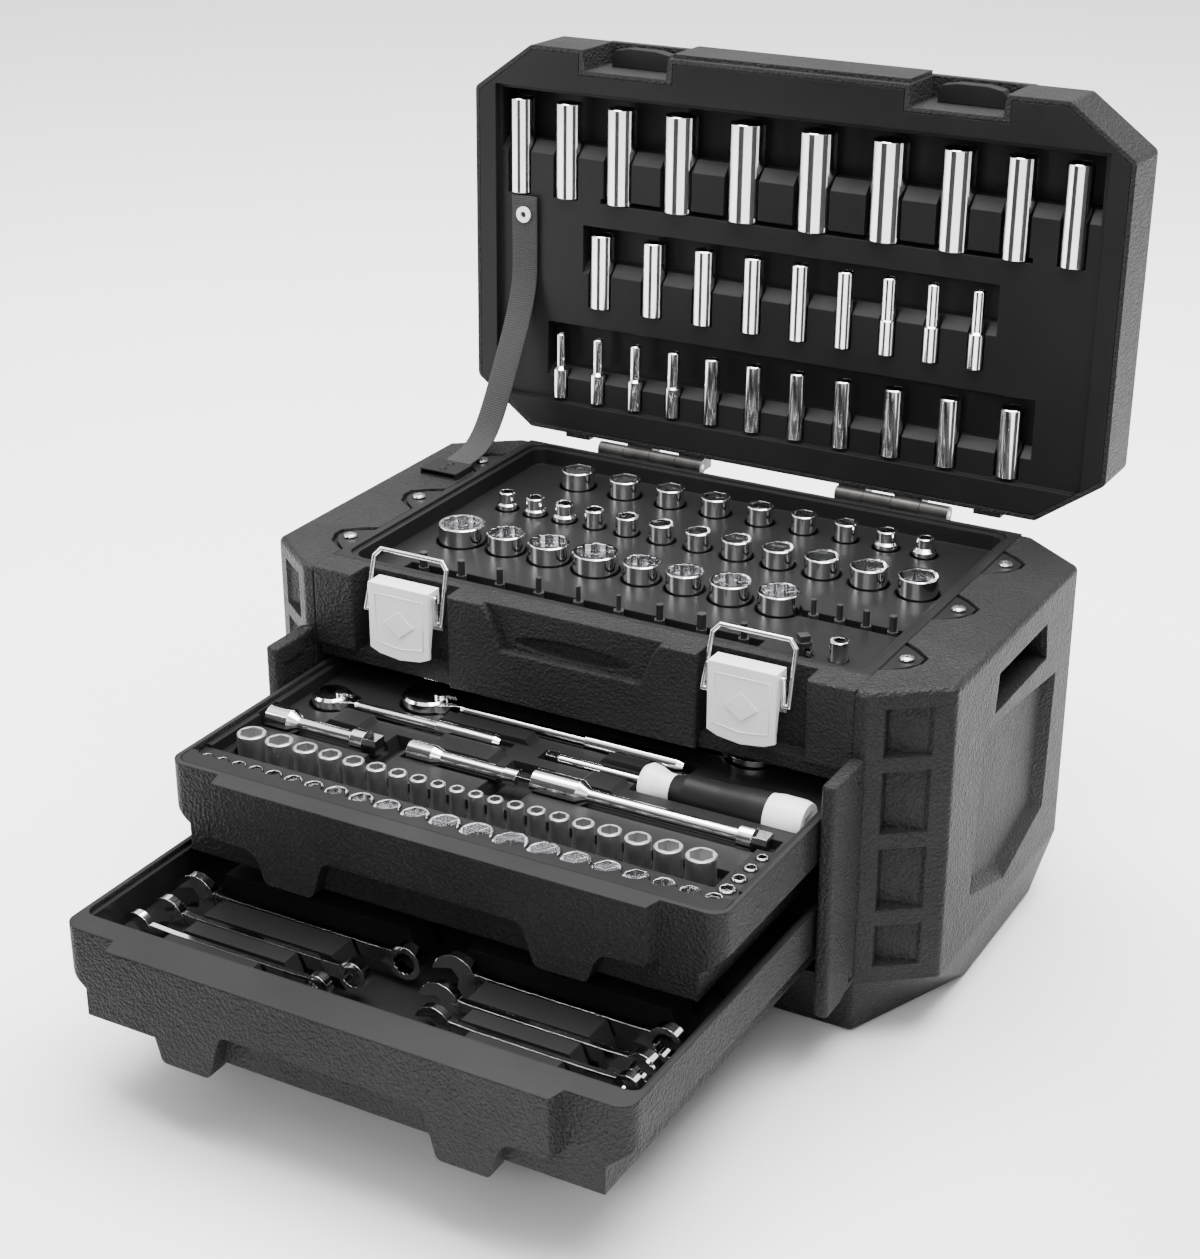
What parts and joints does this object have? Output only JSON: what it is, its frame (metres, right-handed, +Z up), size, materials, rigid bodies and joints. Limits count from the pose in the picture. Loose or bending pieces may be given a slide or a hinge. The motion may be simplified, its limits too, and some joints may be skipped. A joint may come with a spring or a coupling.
{
  "type": "socket wrench set in case",
  "caption": "Moulded tool chest with a hinged lid, two sliding drawers, lock flaps and wire draw latches, filled with sockets, ratchets, extension bars, bits and combination wrenches.",
  "frame": {"origin": "centre of the chest underside, on the surface it stands on", "axes": "+Z up, -Y towards the drawers and latches, +X towards the chest's right as seen from the front"},
  "size_m": [0.47, 0.6003, 0.5141],
  "materials": {
    "black_plastic": "pebbled black plastic",
    "bright_wire": "bright steel wire",
    "chrome": "polished chrome plate",
    "dark_steel": "black oxide steel",
    "grip_plastic": "black ribbed grip",
    "insert_plastic": "dull black moulded insert",
    "satin_chrome": "satin chrome plate",
    "steel": "plain steel",
    "tray_plastic": "smooth satin black tray",
    "webbing": "black webbing",
    "white_paint": "white painted steel",
    "white_plastic": "gloss white plastic"
  },
  "bodies": {
    "chest": {"back_panel": "black_plastic", "base_tub": "black_plastic", "cap_screws": "steel", "drawer_rails": "black_plastic", "drive_adapter": "chrome", "flap_ears": "black_plastic", "flap_pins": "steel", "floor_panel": "black_plastic", "hex_bits": "dark_steel", "hinge_leaves_box": "dark_steel", "hinge_pins": "steel", "latch_brackets": "steel", "latch_pins": "steel", "side_cap_left": "black_plastic", "side_cap_right": "black_plastic", "star_bits": "dark_steel", "strap": "webbing", "strap_clip": "black_plastic", "top_box": "black_plastic", "tray_insert": "tray_plastic", "tray_sockets_back": "chrome", "tray_sockets_front": "chrome", "tray_sockets_middle": "chrome", "universal_joint": "dark_steel"},
    "lid": {"lid_shell": "black_plastic", "lid_liner": "insert_plastic", "lid_catches": "steel", "hinge_leaves_lid": "dark_steel", "strap_eyelet": "white_plastic", "lid_sockets_top": "chrome", "lid_sockets_middle": "chrome", "lid_sockets_bottom": "chrome"},
    "upper_drawer_body": {"upper_drawer": "black_plastic", "upper_insert": "insert_plastic", "short_sockets": "chrome", "grey_sockets": "satin_chrome", "extension_short": "chrome", "extension_medium": "chrome", "extension_long": "chrome", "ratchet_quarter": "chrome", "ratchet_three_eighths": "chrome", "ratchet_half_inch": "chrome", "spinner_shank": "chrome", "spinner_collar": "white_plastic", "spinner_grip": "grip_plastic", "spinner_cap": "white_plastic"},
    "lower_drawer_body": {"lower_drawer": "black_plastic", "lower_insert": "insert_plastic", "wrenches_left": "chrome", "wrenches_right": "chrome"},
    "flap_body_right": {"flap_right": "black_plastic"},
    "flap_body_left": {"flap_left": "black_plastic"},
    "lever_right": {"latch_lever_right": "white_paint"},
    "lever_left": {"latch_lever_left": "white_paint"},
    "bail_right": {"latch_bail_right": "bright_wire"},
    "bail_left": {"latch_bail_left": "bright_wire"},
    "selector_q": {"selector_quarter": "chrome"},
    "selector_t": {"selector_three_eighths": "chrome"},
    "selector_h": {"selector_half_inch": "chrome"},
    "yoke": {"universal_yoke": "dark_steel"}
  },
  "joints": [
    {"name": "lid_hinge", "type": "hinge", "parent": "chest", "child": "lid", "pos_m": [0, 0.1426, 0.234], "axis": [1, 0, 0], "range_deg": [0, 91.2], "deforming": ["strap"]},
    {"name": "upper_drawer_slide", "type": "slide", "parent": "chest", "child": "upper_drawer_body", "axis": [0, 1, 0], "range_m": [0, 0.1565]},
    {"name": "lower_drawer_slide", "type": "slide", "parent": "chest", "child": "lower_drawer_body", "axis": [0, 1, 0], "range_m": [0, 0.258]},
    {"name": "flap_right_hinge", "type": "hinge", "parent": "chest", "child": "flap_body_right", "pos_m": [0.1902, -0.1399, 0.117], "axis": [0, 0, 1], "range_deg": [0, 85]},
    {"name": "flap_left_hinge", "type": "hinge", "parent": "chest", "child": "flap_body_left", "pos_m": [-0.1902, -0.1399, 0.117], "axis": [0, 0, -1], "range_deg": [0, 85]},
    {"name": "lever_right_hinge", "type": "hinge", "parent": "chest", "child": "lever_right", "pos_m": [0.118, -0.131, 0.228], "axis": [-1, 0, 0], "range_deg": [0, 90]},
    {"name": "bail_right_hinge", "type": "hinge", "parent": "lever_right", "child": "bail_right", "pos_m": [0.118, -0.1356, 0.23], "axis": [1, 0, 0], "range_deg": [0, 117]},
    {"name": "lever_left_hinge", "type": "hinge", "parent": "chest", "child": "lever_left", "pos_m": [-0.118, -0.131, 0.228], "axis": [-1, 0, 0], "range_deg": [0, 90]},
    {"name": "bail_left_hinge", "type": "hinge", "parent": "lever_left", "child": "bail_left", "pos_m": [-0.118, -0.1356, 0.23], "axis": [1, 0, 0], "range_deg": [0, 117]},
    {"name": "selector_quarter_hinge", "type": "hinge", "parent": "upper_drawer_body", "child": "selector_q", "pos_m": [-0.1485, -0.162, 0.1575], "axis": [0, 0, 1], "range_deg": [-22, 22]},
    {"name": "selector_three_eighths_hinge", "type": "hinge", "parent": "upper_drawer_body", "child": "selector_t", "pos_m": [-0.0926, -0.133, 0.1565], "axis": [0, 0, 1], "range_deg": [-22, 22]},
    {"name": "selector_half_inch_hinge", "type": "hinge", "parent": "upper_drawer_body", "child": "selector_h", "pos_m": [0.0972, -0.0975, 0.154], "axis": [0, 0, 1], "range_deg": [-22, 22]},
    {"name": "universal_yoke_hinge", "type": "hinge", "parent": "chest", "child": "yoke", "pos_m": [0.128, -0.078, 0.2205], "axis": [1, 0, 0], "range_deg": [-30, 30]}
  ],
  "couplings": [
    {"joint": "bail_right_hinge", "follows": "lever_right_hinge", "ratio": 1.3},
    {"joint": "bail_left_hinge", "follows": "lever_left_hinge", "ratio": 1.3}
  ]
}
